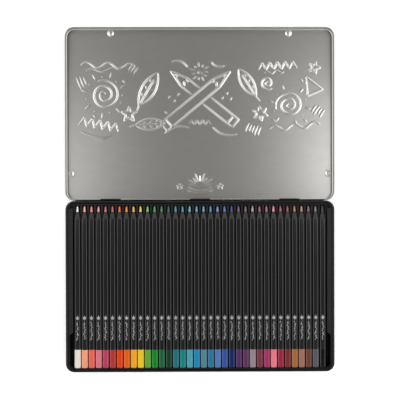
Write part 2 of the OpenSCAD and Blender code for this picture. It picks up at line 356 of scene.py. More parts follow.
def buildDust(tree, given):
    # specks that settle on what faces up
    at = onObject(tree)
    speck = put(tree, "ShaderNodeTexVoronoi", {"Vector": at, "Scale": given["Specks"]}).outputs["Distance"]
    mask = fitRange(tree, speck, *effects["speckRange"])
    patches = noise(tree, at, effects["dustPatches"], 3.0)
    mask = times(tree, mask, fitRange(tree, patches, *effects["dustRange"]))
    facing = axes(tree, put(tree, "ShaderNodeNewGeometry").outputs["Normal"])[2]
    mask = times(tree, mask, fitRange(tree, facing, *effects["dustUp"]))
    return {"Mask": times(tree, mask, given["Amount"])}


black = (0, 0, 0, 1)
unevenTone = newGroup("unevenTone", buildTone, Colour=black, Tone=black, Spots=(40, 40, 40), Amount=0.5)
fineGrain = newGroup("fineGrain", buildGrain, Stretch=(300, 3000, 3000), Contrast=1.0)
layers = {
    "scratches": newGroup("fineScratches", buildScratches, Density=0.5, Size=1.0),
    "wear": newGroup("edgeWear", buildWear, Reach=0.1, Amount=0.5),
    "dust": newGroup("fineDust", buildDust, Amount=0.4, Specks=900.0),
}


def newMaterial(name, constants):
    material = bpy.data.materials.new(name)
    material.use_nodes = True
    tree = material.node_tree
    shader = tree.nodes["Principled BSDF"]
    for key, value in constants.items():
        shader.inputs[key].default_value = value
    return material, tree, shader


def addUp(tree, fields, total, shares):
    for field, share in shares.items():
        total = timesPlus(tree, fields[field], share, total)
    return total


def makeMaterial(name, look, dress=None):
    # an uneven tone with layers over it, and grain or fine noise in its surface
    material, tree, shader = newMaterial(name, look.get("constants", {}))
    values = {"Colour": (*look["colour"], 1), "Tone": (*look["tone"], 1)}
    tone = place(tree, unevenTone, {**values, "Spots": look["spots"], "Amount": look["mottled"]})
    base, fields = tone["Colour"], {"tone": tone["Value"]}
    for layer, values, share, shade in look.get("layers", ()):
        fields[layer] = place(tree, layers[layer], values)["Mask"]
        base = shadeOver(tree, times(tree, fields[layer], share), base, shade)
    if "grain" in look:
        grain = place(tree, fineGrain, look["grain"])
        fields["grain"], fields["height"] = grain["Value"], grain["Height"]
    if "noise" in look:
        scales, detail = look["noise"]
        fields["noise"] = fields["height"] = noise(tree, stretched(tree, onObject(tree), scales), 1.0, detail)
    if "grainShows" in look:
        low, high, most, shade = look["grainShows"]
        base = shadeOver(tree, fitRange(tree, fields["grain"], low, high, 0.0, most), base, shade)
    if dress:
        base = dress(tree, base)
    tree.links.new(base, shader.inputs["Base Color"])
    tree.links.new(addUp(tree, fields, *look["roughness"]), shader.inputs["Roughness"])
    if "metallic" in look:
        tree.links.new(addUp(tree, fields, *look["metallic"]), shader.inputs["Metallic"])
    if "bump" in look:
        strength, distance = look["bump"]
        values = {"Height": fields["height"], "Strength": strength, "Distance": distance}
        tree.links.new(put(tree, "ShaderNodeBump", values).outputs[0], shader.inputs["Normal"])
    return material


lidShape = {
    "sheet": 0.3, "foldRadius": 1.8, "cornerRadius": 10.0, "hemHeight": 1.9, "hemGap": 0.05,
    "rollRadius": 0.8, "rollStart": -122, "rollBare": 7, "rollEnd": 0.35,
    "step": 0.6, "dentStep": 0.62, "dentBand": (117.5, 126.8), "cornerStep": 1.0, "coarse": 4.0,
    "dents": [(-97.0, 275.4), (97.0, 275.4), (-140.7, 122.15), (140.7, 122.15)],
    "dentWidth": 7.0, "dentDepth": 1.2,
    "pips": [(-62.0, 276.2), (61.5, 276.2)], "pipWidth": 2.4, "pipDepth": 0.22,
}
tinLook = {
    "constants": {"Metallic": 1.0},
    "colour": (0.77, 0.755, 0.72), "tone": (0.71, 0.695, 0.662), "spots": (9, 14, 14), "mottled": 0.8,
    "layers": [("scratches", {"Density": 0.35, "Size": 1.0}, 0.35, (0.8, 0.79, 0.77))],
    "grain": {"Stretch": (60, 2600, 2600), "Contrast": 1.0}, "bump": (0.12, 0.00002),
    "roughness": (0.25, {"grain": 0.08, "tone": 0.06, "scratches": 0.12}),
    # ranges and strengths of the painted shade at the lid's fold and rim
    "sides": (0.2, 0.75), "creaseStart": (0.0067, 0.0076), "creaseEnd": (0.0086, 0.0092), "creaseShade": 0.62,
    "rimStart": (0.0090, 0.0094), "rim": (0.12, 0.42), "shade": (0.02, 0.02, 0.018),
}


def paintShadeOnLidEdge(tree, base):
    # out of the lid's inner rectangle: painted shade, a dark line along the fold at its left and right, and a
    # darker rim, most at the left and right
    look, (low, high) = tinLook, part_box("lid_shell")
    r = lidShape["cornerRadius"] * metre
    at = axes(tree, onObject(tree))
    across = larger(tree, minus(tree, maths(tree, "ABSOLUTE", at[0]), high[0] - r), 0.0)
    along = maths(tree, "ABSOLUTE", minus(tree, at[1], (low[1] + high[1]) / 2))
    along = larger(tree, minus(tree, along, (high[1] - low[1]) / 2 - r), 0.0)
    out = maths(tree, "SQRT", timesPlus(tree, across, across, times(tree, along, along)))
    side = fitRange(tree, maths(tree, "DIVIDE", across, larger(tree, out, 0.00001)), *look["sides"])
    creaseShade = times(tree, fitRange(tree, out, *look["creaseStart"]), times(tree, side, look["creaseShade"]))
    creaseShade = times(tree, creaseShade, fitRange(tree, out, *look["creaseEnd"], 1.0, 0.0))
    rim = times(tree, fitRange(tree, out, *look["rimStart"]), fitRange(tree, side, 0.0, 1.0, *look["rim"]))
    return shadeOver(tree, larger(tree, creaseShade, rim), base, look["shade"])


lacquerLook = {
    "constants": {"Coat Weight": 0.1, "Coat Roughness": 0.12, "Specular IOR Level": 0.38},
    "colour": (0.003, 0.003, 0.0032), "tone": (0.0045, 0.0045, 0.0047), "spots": (60, 60, 60), "mottled": 1.0,
    "layers": [
        ("wear", {"Reach": 0.12, "Amount": 0.35}, 1.0, (0.45, 0.44, 0.42)),
        ("scratches", {"Density": 0.35, "Size": 1.2}, 0.12, (0.12, 0.12, 0.12)),
        ("dust", {"Amount": 0.3, "Specks": 700.0}, 0.5, (0.25, 0.24, 0.23)),
    ],
    "noise": ((900, 900, 900), 1.0), "bump": (0.12, 0.00003),
    "roughness": (0.26, {"scratches": 0.15, "tone": 0.08}), "metallic": (0.0, {"wear": 0.9}),
}
trayLook = {
    "constants": {"Specular IOR Level": 0.42},
    "colour": (0.0055, 0.0055, 0.0058), "tone": (0.0085, 0.0085, 0.0088),
    "spots": (50, 50, 50), "mottled": 0.8,
    "layers": [
        ("wear", {"Reach": 0.15, "Amount": 0.25}, 1.0, (0.045, 0.045, 0.047)),
        ("dust", {"Amount": 0.5, "Specks": 800.0}, 0.5, (0.3, 0.29, 0.28)),
    ],
    "noise": ((2600, 2600, 2600), 2.0), "bump": (0.25, 0.00004), "roughness": (0.44, {"noise": 0.12}),
}
pencilLook = {
    "constants": {"Coat Weight": 0.15, "Coat Roughness": 0.2},
    "colour": (0.005, 0.0048, 0.0052), "tone": (0.0068, 0.0066, 0.007),
    "spots": (400, 30, 400), "mottled": 1.0,
    "layers": [
        ("wear", {"Reach": 0.2, "Amount": 0.12}, 1.0, (0.05, 0.048, 0.047)),
        ("dust", {"Amount": 0.22, "Specks": 1100.0}, 0.5, (0.25, 0.24, 0.24)),
    ],
    "grain": {"Stretch": (2400, 90, 2400), "Contrast": 1.0}, "bump": (0.1, 0.00003),
    "roughness": (0.25, {"grain": 0.1}),
}
woodLook = {
    "colour": (0.02, 0.0197, 0.02), "tone": (0.029, 0.0285, 0.029), "spots": (900, 160, 900), "mottled": 0.9,
    "grain": {"Stretch": (3200, 240, 3200), "Contrast": 1.6},
    "grainShows": (0.5, 0.75, 1.0, (0.06, 0.058, 0.058)),
    "bump": (0.5, 0.00006), "roughness": (0.65, {"grain": 0.14}),
}
printLook = {
    "colour": (0.66, 0.66, 0.67), "tone": (0.5, 0.5, 0.51), "spots": (900, 900, 900), "mottled": 0.8,
    "roughness": (0.34, {"tone": 0.15}), "metallic": (0.15, {"tone": 0.2}),
}
# thick glossy paint on the blunt end, a little thinner and lighter in streaks
dipLook = {
    "constants": {"Coat Weight": 0.15, "Coat Roughness": 0.06}, "spots": (500, 90, 500), "mottled": 0.8,
    "noise": ((700, 400, 700), 1.0), "bump": (0.12, 0.00004), "roughness": (0.2, {"tone": 0.08}),
    "white": 0.0, "gain": 1.06, "darker": 0.017, "least": 0.0008, "second": (1.08, 0.003),
}
# waxy lead with the cutter's fine rings around it
leadLook = {
    "spots": (700, 500, 700), "mottled": 0.55, "grain": {"Stretch": (200, 5200, 200), "Contrast": 1.4},
    "rings": (0.55, 0.85, 0.5), "bump": (0.35, 0.00005), "roughness": (0.38, {"grain": 0.2}),
    "white": 0.2, "gain": 1.3, "darker": 0.035, "least": 0.004, "second": (0.72, 0.0),
}


def linear(c):
    return c / 255 / 12.92 if c <= 10 else ((c / 255 + 0.055) / 1.055) ** 2.4


def makePaint(name, look, rgb):
    # the material of one colour: its second tone and its rings are a shade of the first
    seen = [min(1.0, look["gain"] * linear(c + (255 - c) * look["white"])) for c in rgb]
    first = [max(look["least"], c - look["darker"]) for c in seen]
    second = [min(1.0, c * look["second"][0] + look["second"][1]) for c in first]
    look = {**look, "colour": first, "tone": second}
    if "rings" in look:
        look["grainShows"] = (*look["rings"], second)
    return makeMaterial(name, look)


# the lid's tin carries painted shade along its fold and rim
satinTin = makeMaterial("satinTin", tinLook, paintShadeOnLidEdge)
blackLacquer = makeMaterial("blackTinLacquer", lacquerLook)
trayPlastic = makeMaterial("blackTrayPlastic", trayLook)
pencilLacquer = makeMaterial("blackPencilLacquer", pencilLook)
dyedWood = makeMaterial("blackDyedWood", woodLook)
silverPrint = makeMaterial("silverPrint", printLook)
print("materials ready")


press = {
    "band": (162.0, 247.0), "emblem": (102.5, 125.5), "foot": 0.35, "seed": 7,
    "bold": {"width": 1.3, "height": 0.56, "taper": 0.6},
    "thin": {"width": 0.98, "height": 0.38, "taper": 0.6},
    "fan": {"width": 0.85, "height": 0.36, "taper": 0.3},
}


def strokeInto(field, xs, ys, points, width, height, taper):
    # raises a soft ridge along a line, narrower towards both of its ends
    points = np.array(points, float)
    lengths = np.linalg.norm(np.diff(points, axis=0), axis=1)
    run = np.concatenate([[0], np.cumsum(lengths)]) / max(lengths.sum(), 1e-9)
    for (p, q), a, b in zip(zip(points[:-1], points[1:]), run[:-1], run[1:]):
        i0, i1 = np.searchsorted(xs, [min(p[0], q[0]) - width, max(p[0], q[0]) + width])
        j0, j1 = np.searchsorted(ys, [min(p[1], q[1]) - width, max(p[1], q[1]) + width])
        if i1 <= i0 or j1 <= j0:
            continue
        gx, gy = np.meshgrid(xs[i0:i1] - p[0], ys[j0:j1] - p[1])
        d = q - p
        t = np.clip((gx * d[0] + gy * d[1]) / max(d @ d, 1e-9), 0, 1)
        away = np.hypot(gx - t * d[0], gy - t * d[1])
        whole = a + (b - a) * t
        slim = 1 - taper * (1 - np.sqrt(np.clip(4 * whole * (1 - whole), 0, 1)))
        rise = 0.5 + 0.5 * np.cos(np.pi * np.clip(away / (width * slim), 0, 1))
        rise *= height * (press["foot"] + (1 - press["foot"]) * slim)
        field[j0:j1, i0:i1] = np.maximum(field[j0:j1, i0:i1], rise)


def aside(start, end, along, off):
    # points at shares of the way from start to end, moved sideways
    start, end = np.array(start, float), np.array(end, float)
    side = np.array([start[1] - end[1], end[0] - start[0]]) / np.linalg.norm(end - start)
    return start + (end - start) * along[:, None] + side * off[:, None]


def bow(start, end, bend, cells=14):
    t = np.linspace(0, 1, cells)
    return aside(start, end, t, math.dist(start, end) * bend * 4 * t * (1 - t))


def sway(start, end, waves, height):
    t = np.linspace(0, 1, 60)
    return aside(start, end, t, height * np.sin(2 * math.pi * waves * t))


def jagged(start, end, teeth, height):
    k = np.arange(2 * teeth + 1)
    return aside(start, end, k / (2 * teeth), height * np.where(k % 2, 1, -1))


def coil(centre, radius, turns, start=0.0, squash=1.0):
    a = np.linspace(0, 2 * math.pi * turns, int(26 * turns))
    r = radius * (0.12 + 0.88 * a / a[-1])
    return np.stack([centre[0] + r * np.cos(a + start), centre[1] + squash * r * np.sin(a + start)], axis=1)


def turnedPoints(points, centre, degrees):
    c, s = math.cos(math.radians(degrees)), math.sin(math.radians(degrees))
    return np.array(points, float) @ np.array([[c, s], [-s, c]]) + centre


def drawnCrayon(centre, degrees, length, width):
    # outline of a crayon lying at an angle: sides, sharpened edge, end and lead
    h, w = length / 2, width / 2
    cone, lead = length * 0.2, length * 0.07
    shoulder, notch = h - cone, h - cone - 2.4
    shapes = [
        [(-h, w), (shoulder, w), (h, 0), (shoulder, -w), (-h, -w), (-h, w)],
        [(shoulder, w), (notch, w * 0.5), (shoulder, 0), (notch, -w * 0.5), (shoulder, -w)],
        [(7 - h, w), (7 - h, -w)],
        [(h - lead, w * lead / cone), (h - lead - 1, 0), (h - lead, -w * lead / cone)],
    ]
    return [turnedPoints(shape, centre, degrees) for shape in shapes]


def outside(shapes, centre, degrees, halfLength, halfWidth):
    # the runs of each line that another shape, a turned rectangle, doesn't cover
    kept = []
    for shape in shapes:
        ends = list(zip(shape[:-1], shape[1:]))
        fine = np.concatenate([np.linspace(p, q, 2 + int(np.hypot(*(q - p)))) for p, q in ends])
        local = turnedPoints(fine - np.array(centre), (0, 0), -degrees)
        clear = (np.abs(local[:, 0]) > halfLength) | (np.abs(local[:, 1]) > halfWidth)
        cuts = np.flatnonzero(np.diff(clear.astype(int))) + 1
        runs = zip(np.split(fine, cuts), np.split(clear, cuts))
        kept += [run for run, shown in runs if shown[0] and len(run) > 2]
    return kept


def drawnStar(centre, radius, degrees, points=5, waist=0.42):
    k = np.arange(2 * points + 1)
    a, r = np.radians(degrees + k * 180 / points), np.where(k % 2, waist * radius, radius)
    return np.stack([centre[0] + r * np.cos(a), centre[1] + r * np.sin(a)], axis=1)


def drawnLeaf(centre, degrees, length, width):
    # outline and stalk, and the veins apart
    h, bend = length / 2, width / length
    rim = [bow((-h, 0), (h, 0), bend), bow((-h, 0), (h, 0), -bend), [(-h - 6, -1), (-h, 0), (h * 0.6, 0)]]
    veins = []
    for k in range(3):
        x = -h * 0.5 + k * h * 0.42
        veins += [[(x + 1, side * 1.6), (x + 4, side * width * 0.62)] for side in (-1, 1)]
    return [[turnedPoints(shape, centre, degrees) for shape in shapes] for shapes in (rim, veins)]


def rays(centre, inner, outer, count, start=0.0, sweep=360.0):
    # every other ray is shorter
    a = np.radians(start + sweep * np.arange(count) / count)
    way, reach = np.stack([np.cos(a), np.sin(a)], axis=1), np.where(np.arange(count) % 2, outer, 0.8 * outer)
    return [np.array(centre) + np.outer([inner, far], toward) for far, toward in zip(reach, way)]


def strokes(centre, degrees, count, gap, length, chance):
    # a patch of hand-drawn hatching
    found = []
    for k in range(count):
        x = (k - (count - 1) / 2) * gap
        h = length * (0.35 + 0.3 * chance.random())
        line = bow((x, -h + 2 * chance.random()), (x + 0.8 * chance.random(), h), 0.04)
        found.append(turnedPoints(line, centre, degrees))
    return found


def dashes(dx, dy, *starts):
    return [[(x, y), (x + dx, y + dy)] for x, y in starts]


def sketchbookPattern():
    # a loose frieze of drawing-table doodles, and a small fan for the lower field
    chance = random.Random(press["seed"])
    bold = drawnCrayon((-3, 203), 40, 94, 11)
    bold += outside(drawnCrayon((4, 205), 141, 90, 11), (-3, 203), 40, 36, 6.8)
    thin = []
    for leaf in (((-56, 214), 60, 42, 7.5), ((-54, 176), 4, 32, 6), ((52, 221), 122, 36, 6.5)):
        rim, veins = drawnLeaf(*leaf)
        bold += rim
        thin += veins
    bold += [
        coil((-104, 208), 16.5, 2.25, 0.4), coil((98, 197), 15.5, 2.2, 2.2, 0.92),
        coil((74, 221), 7.5, 1.7, 1.0),
        drawnStar((-77, 187), 8.5, 90), drawnStar((125, 238), 6.5, 70),
        drawnStar((66, 188), 8.0, 100, 6, 0.5),
        jagged((-131, 180), (-88, 172), 5, 4.3), jagged((64, 239), (106, 241), 5, 3.4),
        sway((-129, 241), (-70, 239), 2.5, 3.0), sway((76, 171), (131, 176), 2.5, 2.8),
        [(116, 228), (134, 214), (118, 207), (116, 228)], bow((-38, 166), (-12, 172), 0.16),
        bow((40, 165), (14, 173), 0.16), bow((-30, 244), (-13, 238), 0.2), bow((13, 244), (27, 240), -0.22),
    ]
    thin += rays((-104, 208), 19.5, 25.5, 15) + rays((98, 197), 18, 23, 12, 20) + rays((0, 233), 5.5, 11, 11)
    thin += [coil((0, 233), 2.6, 1.0), bow((-129, 168), (-96, 164), -0.1)]
    thin += [sway((-124, 234.5), (-88, 236), 1.5, 1.8)]
    thin += strokes((58, 170), -20, 5, 3.5, 12, chance) + strokes((129, 190), -30, 4, 3.5, 12, chance)
    thin += strokes((-128, 222), 24, 3, 3.6, 12, chance) + strokes((-72, 236), -35, 3, 3.5, 9, chance)
    thin += [jagged((-12, 178), (12, 178), 4, 2.2), sway((70, 232), (92, 234), 2, 1.6)]
    thin += dashes(1.8, 3.2, (-34, 204), (-28, 200), (-24, 207), (24, 203), (29, 208), (33, 202))
    thin += dashes(2.6, -2.4, (-84, 224), (-38, 190), (80, 181), (110, 225), (114, 181), (-116, 186))
    fan = rays((0, 108), 5.5, 15, 9, 12, 176) + [drawnStar((x, 108), 3.2, 90) for x in (-22, 22)]
    fan += [bow((-12, 107), (12, 107), -0.16, 20), bow((-14, 104), (14, 104), -0.14, 20)]
    return bold, thin, fan


def panelRise(xs, ys, x, y):
    # how far the panel is pressed inwards at each grid point
    field = np.zeros(x.shape)
    for kind, shapes in zip(("bold", "thin", "fan"), sketchbookPattern()):
        for shape in shapes:
            strokeInto(field, xs, ys, shape, **press[kind])
    half, depth = lidShape["dentWidth"] / 2, lidShape["dentDepth"]
    ball = (half ** 2 + depth ** 2) / (2 * depth)
    for cx, cy in lidShape["dents"]:
        away = np.hypot(x - cx, y - cy)
        cap = np.sqrt(np.clip(ball ** 2 - away ** 2, 0, None)) - (ball - depth)
        field = np.maximum(field, np.where(away < half, cap, 0))
    for cx, cy in lidShape["pips"]:
        away = np.clip(np.hypot(x - cx, y - cy) / (lidShape["pipWidth"] / 2), 0, 1)
        field = np.maximum(field, lidShape["pipDepth"] * (0.5 + 0.5 * np.cos(np.pi * away)))
    return field


def makeLid():
    shape = lidShape
    low, high = partBox("lid_shell")
    t, inset, step, fine = shape["sheet"], shape["foldRadius"], shape["step"], shape["dentStep"]
    x0, x1, y0, y1 = low[0] + inset, high[0] - inset, low[1] + inset, high[1] - inset
    radius, cornerX = shape["cornerRadius"] - inset, high[0] - shape["cornerRadius"]
    rollX, reach = cornerX - shape["rollEnd"], tabs["width"] / 2 + tabs["room"]
    windows = [(p - reach, p + reach) for p in tabs["places"]]
    stops = [-cornerX, cornerX, -rollX, rollX] + [edge for window in windows for edge in window]
    xs = lines(x0, x1, stops, [(x0, x1, step)], step)
    ys = lines(y0, y1, [y0 + radius, y1 - radius], [
        (*press["band"], step), (*press["emblem"], step), (*shape["dentBand"], fine), (y1 - radius, y1, fine),
        (y0, y0 + radius, shape["cornerStep"])], shape["coarse"])
    x, y = roundedGrid(xs, ys, radius)
    rise = panelRise(xs, ys, x, y)
    at = outline(x, y)
    way = outwards(xs, ys, radius, at)
    mid, top, bend = t / 2, high[2], t + shape["hemGap"] / 2
    sill = hingeZ - tabs["innerRadius"] - t - tabs["room"]
    wall = chain(straight((mid, hingeZ), (mid, sill), 1), straight((mid, sill), (mid, inset), 2),
                 arc((inset, inset), inset - mid, 180, 270, 6))
    hemIn = 2 * bend - mid
    hem = chain(straight((hemIn, top - shape["hemHeight"]), (hemIn, top - bend), 2),
                arc((bend, top - bend), bend - mid, 0, 180, 8),
                straight((mid, top - bend), (mid, hingeZ), 1), wall)
    above = len(hem) - len(wall)
    roll = arc((shape["rollRadius"], hingeZ), shape["rollRadius"] - mid, shape["rollStart"], 180, above)
    rear = (at[:, 1] < y0 + 1e-6) & (np.abs(at[:, 0]) < cornerX + 1e-6)
    section = np.where(rear[:, None, None], chain(roll, wall)[None], hem[None])
    # no cells where the hem meets the roll, past the roll's ends and in the tabs' windows
    nextRear, middle = np.roll(rear, -1), (at[:, 0] + np.roll(at[:, 0], -1)) / 2
    present = np.ones((len(at), section.shape[1] - 1), bool)
    present[(rear != nextRear) | (rear & nextRear & (np.abs(middle) > rollX)), :above] = False
    for a, b in windows:
        present[rear & nextRear & (middle > a) & (middle < b), above] = False
    # the outer face is tin up to the wall, and over the rear roll only to its top
    bare = np.where(rear, shape["rollBare"], above)[:, None]
    outerSlots = np.where(np.arange(section.shape[1] - 1)[None] < bare, 0, 1)
    part = newPart()
    inner, outer = (swept(at, way, inset, section, side, t) for side in (1, -1))
    addSheet(part, inner, outer, outerSlots, present, loop=True, openEnd=True)
    addGrid(part, np.stack([x, y, rise + t], axis=2), 0, flip=True)
    addGrid(part, np.stack([x, y, rise], axis=2), 1)
    return finishPart("lidDressed", part, [satinTin, blackLacquer], "lid", "lid_shell", 50)


lid = makeLid()
print("lid:", len(lid.data.polygons), "faces")


baseShape = {
    "sheet": 0.3, "foldRadius": 1.5, "cornerRadius": 9.0, "rimRadius": 1.2, "rimStart": -130, "rimCells": 24,
    "bumps": [-68.8, 68.8], "bumpWidth": 15.0, "bumpHeight": 2.5, "bumpProud": 0.6, "bumpZ": 9.907,
    "bumpRoom": 0.15, "bumpReach": 8.4, "bumpStep": 0.5, "cornerStep": 0.8, "coarse": 9.0,
}


def makeBase():
    shape = baseShape
    low, high = partBox("base_shell")
    t, inset, rim, top = shape["sheet"], shape["foldRadius"], shape["rimRadius"], high[2]
    wallY, radius = -(low[1] + shape["bumpProud"]), shape["cornerRadius"] - inset
    x0, y0 = high[0] - inset, wallY - inset
    step = shape["cornerStep"]
    cornersX, cornersY = ([(-v, radius - v, step), (v - radius, v, step)] for v in (x0, y0))
    reach, step = shape["bumpReach"], shape["bumpStep"]
    bumpZones = [(p - reach, p + reach, step) for p in shape["bumps"]]
    xs = lines(-x0, x0, [], bumpZones + cornersX, shape["coarse"])
    ys = lines(-y0, y0, [], cornersY, shape["coarse"])
    x, y = roundedGrid(xs, ys, radius)
    at = outline(x, y)
    way = outwards(xs, ys, radius, at)
    mid, bumpHalf = t / 2, shape["bumpHeight"] / 2
    bumpTop, bumpFoot = (shape["bumpZ"] + side * (bumpHalf + shape["bumpRoom"]) for side in (1, -1))
    section = chain(
        arc((rim, top - rim), rim - mid, shape["rimStart"], 180, shape["rimCells"]),
        straight((mid, top - rim), (mid, bumpTop), 1), straight((mid, bumpTop), (mid, bumpFoot), 10),
        straight((mid, bumpFoot), (mid, inset), 2), arc((inset, inset), inset - mid, 180, 270, 6))
    section = np.repeat(section[None], len(at), axis=0)
    # the snap bumps are caps with round ends, pushed out of the front wall
    ball = (bumpHalf ** 2 + shape["bumpProud"] ** 2) / (2 * shape["bumpProud"])
    wallHere = (at[:, 1] < -y0 + 1e-6)[:, None] & (np.arange(section.shape[1]) > shape["rimCells"])[None]
    for p in shape["bumps"]:
        beside = np.clip(np.abs(at[:, 0] - p) - shape["bumpWidth"] / 2 + bumpHalf, 0, None)[:, None]
        away = np.hypot(beside, section[:, :, 1] - shape["bumpZ"])
        proud = np.sqrt(np.clip(ball ** 2 - away ** 2, 0, None)) - (ball - shape["bumpProud"])
        section[:, :, 0] -= np.where(wallHere & (away < bumpHalf), proud, 0)
    part = newPart()
    inner, outer = (swept(at, way, inset, section, side, t) for side in (1, -1))
    addSheet(part, inner, outer, loop=True, openEnd=True)
    addGrid(part, np.stack([x, y, np.full(x.shape, t)], axis=2), 0, flip=True)
    addGrid(part, np.stack([x, y, np.zeros(x.shape)], axis=2), 0)
    ring = tabs["innerRadius"] + mid
    strap = chain(straight((wallY - mid, hingeZ - ring), (hingeY, hingeZ - ring), 2),
                  arc((hingeY, hingeZ), ring, -90, 150, 20))
    faces = [(strap[:, :2] + side * strap[:, 2:] * mid).T for side in (1, -1)]
    for p in tabs["places"]:
        across = (p + np.linspace(-0.5, 0.5, tabs["cells"] + 1) * tabs["width"])[:, None]
        addSheet(part, *(np.dstack(np.broadcast_arrays(across, *face)) for face in faces))
    return finishPart("baseDressed", part, [blackLacquer], "base", "base_shell", 45)


base = makeBase()
print("base:", len(base.data.polygons), "faces")


# A pair is a place and what the sheet does there: a groove's height beside its middle, the share of the
# rise at a flange, wall or ledge, and the lip's depth and the drop's share at an inset from the outline.
trayShape = {
    "sheet": 0.6, "cornerRadius": 6.1, "wallInset": 1.9, "ridgeZ": 8.374,
    "groove": [(0, 5.25), (0.6, 5.25), (0.9, 5.31), (1.15, 5.56), (1.35, 5.89), (2.55, 7.967), (2.75, 8.22),
               (3.0, 8.335), (3.3, 8.374), (3.785, 8.374)],
    "flange": [(136.5, 0.0), (136.72, 0.03), (136.9, 0.13), (137.25, 0.87), (137.42, 0.97), (137.7, 1.0)],
    "flangeRows": [138.4, 139.3],
    "troughY": -49.15, "troughRows": [-86.6, -85.5, -84.4, -83.25, -75, -67, -61, -57, -54, -51.6],
    "troughWall": [(-0.85, 0.0), (-0.55, 0.02), (-0.4, 0.10), (-0.3, 0.28), (-0.12, 0.72), (-0.02, 0.9),
                   (0.12, 0.98), (0.4, 1.0)],
    "ledgeY": 84.85, "rowRows": [-47, -44, -40, -34, -20, 10, 40, 60, 72, 80, 83.25, 86.4],
    "ledge": [(-0.4, 1.0), (-0.15, 0.97), (0.0, 0.87), (0.3, 0.13), (0.45, 0.03), (0.7, 0.0)],
    "chamferFrom": 137.0, "chamferLength": 3.3, "chamferFlat": 3.0, "chamferFade": 14.0,
    "skirtRows": [3.0, 8.0], "lip": [(0.0, 0.35), (0.07, 0.14), (0.2, 0.03), (0.35, 0.0), (0.55, 0.0)],
    "drop": [(0.8, 0.0), (0.93, 0.04), (1.0, 0.12), (1.04, 0.5), (1.08, 0.86), (1.2, 0.95), (1.5, 0.99),
             (1.9, 1.0)],
    "underLip": [0.6, 0.6, 0.6, 0.6, 0.6, 0.6, 0.65, 0.7, 1.15, 1.25, 1.35, 1.5, 1.62, 1.7, 1.78, 1.9],
    "underCorner": 0.3,
}
rowPitch, rowCount = 7.57, 36


def trayHeights(shape, top, floor, x1, y1):
    # places of the tray's rows and columns, and the height of the sheet where they cross
    centres = [(k - (rowCount - 1) / 2) * rowPitch for k in range(rowCount)]
    grooves = {round(c + side * u, 4): z for c in centres for u, z in shape["groove"] for side in (1, -1)}
    flangeX = [u for u, _ in shape["flange"]] + shape["flangeRows"] + [x1]
    xs = np.array(sorted([-u for u in flangeX] + list(grooves) + flangeX))
    xs = xs[np.concatenate([[True], np.diff(xs) > 1e-3])]
    wall = [(shape["troughY"] + v, share) for v, share in shape["troughWall"]]
    ledge = [(shape["ledgeY"] + v, share) for v, share in shape["ledge"]]
    ys = shape["troughRows"] + shape["rowRows"] + [v for v, _ in wall + ledge]
    ys = np.array(sorted([-y1, *ys, y1]))
    land = np.interp(np.abs(xs), *zip(*sorted((u, z) for u, z in grooves.items() if u > 0)))[None]
    flanges = np.interp(ys, *zip(*ledge))[:, None] * np.interp(np.abs(xs), *zip(*shape["flange"]))[None]
    land = land + flanges * (top - shape["ridgeZ"])
    return xs, ys, floor + np.interp(ys, *zip(*wall))[:, None] * (land - floor)


def makeTray():
    shape = trayShape
    low, high = partBox("pencil_tray")
    t, inset, top, foot = shape["sheet"], shape["wallInset"], high[2], low[2]
    xs, ys, z = trayHeights(shape, top, foot + t, high[0] - inset, high[1] - inset)
    radius = shape["cornerRadius"] - inset
    x, y = roundedGrid(xs, ys, radius)
    way = outwards(xs, ys, radius, outline(x, y))
    # each flange ends in a corner cut off at 45 degrees: the rows there lean
    lean = np.clip(np.abs(x) - shape["chamferFrom"], 0, shape["chamferLength"])
    fade = (np.abs(y - shape["troughY"]) - shape["chamferFlat"]) / shape["chamferFade"]
    fade = np.clip(1 - fade, 0, 1)
    y = y - lean * fade * fade * (3 - 2 * fade)
    upper = np.stack([x, y, z], axis=2)
    facing = np.cross(np.gradient(upper, axis=1), np.gradient(upper, axis=0))
    under = upper - t * facing / np.linalg.norm(facing, axis=2)[..., None]
    under[..., 2] = np.clip(under[..., 2], foot, None)
    # the wall around it: skirt, lip and drop to the sheet, and the same line one sheet further in
    at, land, drop = outline(x, y), outline(z), np.array(shape["drop"])
    skirt = [(0.0, v) for v in (foot, *shape["skirtRows"])]
    rows = len(skirt) + 1
    skirt = np.array(skirt + [(u, top - v) for u, v in shape["lip"]])
    heights = np.broadcast_to(skirt[:, 1], (len(at), len(skirt)))
    heights = np.hstack([heights, top - drop[:, 1][None] * (top - land)])
    lowered = np.minimum(heights, np.concatenate([skirt[:, 1], [top] * len(drop)])[None]) - t
    lowered[:, :rows] = np.minimum(heights[:, :rows], top - t - shape["underCorner"])
    rings = []
    for insets, level in ((np.concatenate([skirt[:, 0], drop[:, 0]]), heights),
                          (np.array(shape["underLip"]), np.clip(lowered, foot, None))):
        xy = at[:, None, :] + way[:, None, :] * (inset - insets)[None, :, None]
        rings.append(np.concatenate([xy, level[..., None]], axis=2))
    rings[1][:, -1] = outline(*np.moveaxis(under, 2, 0))
    part = newPart()
    addSheet(part, *rings, loop=True, openEnd=True)
    addGrid(part, upper, 0, flip=True)
    addGrid(part, under, 0)
    return finishPart("trayDressed", part, [trayPlastic], "tray", "pencil_tray", 50)


tray = makeTray()
print("tray:", len(tray.data.polygons), "faces")


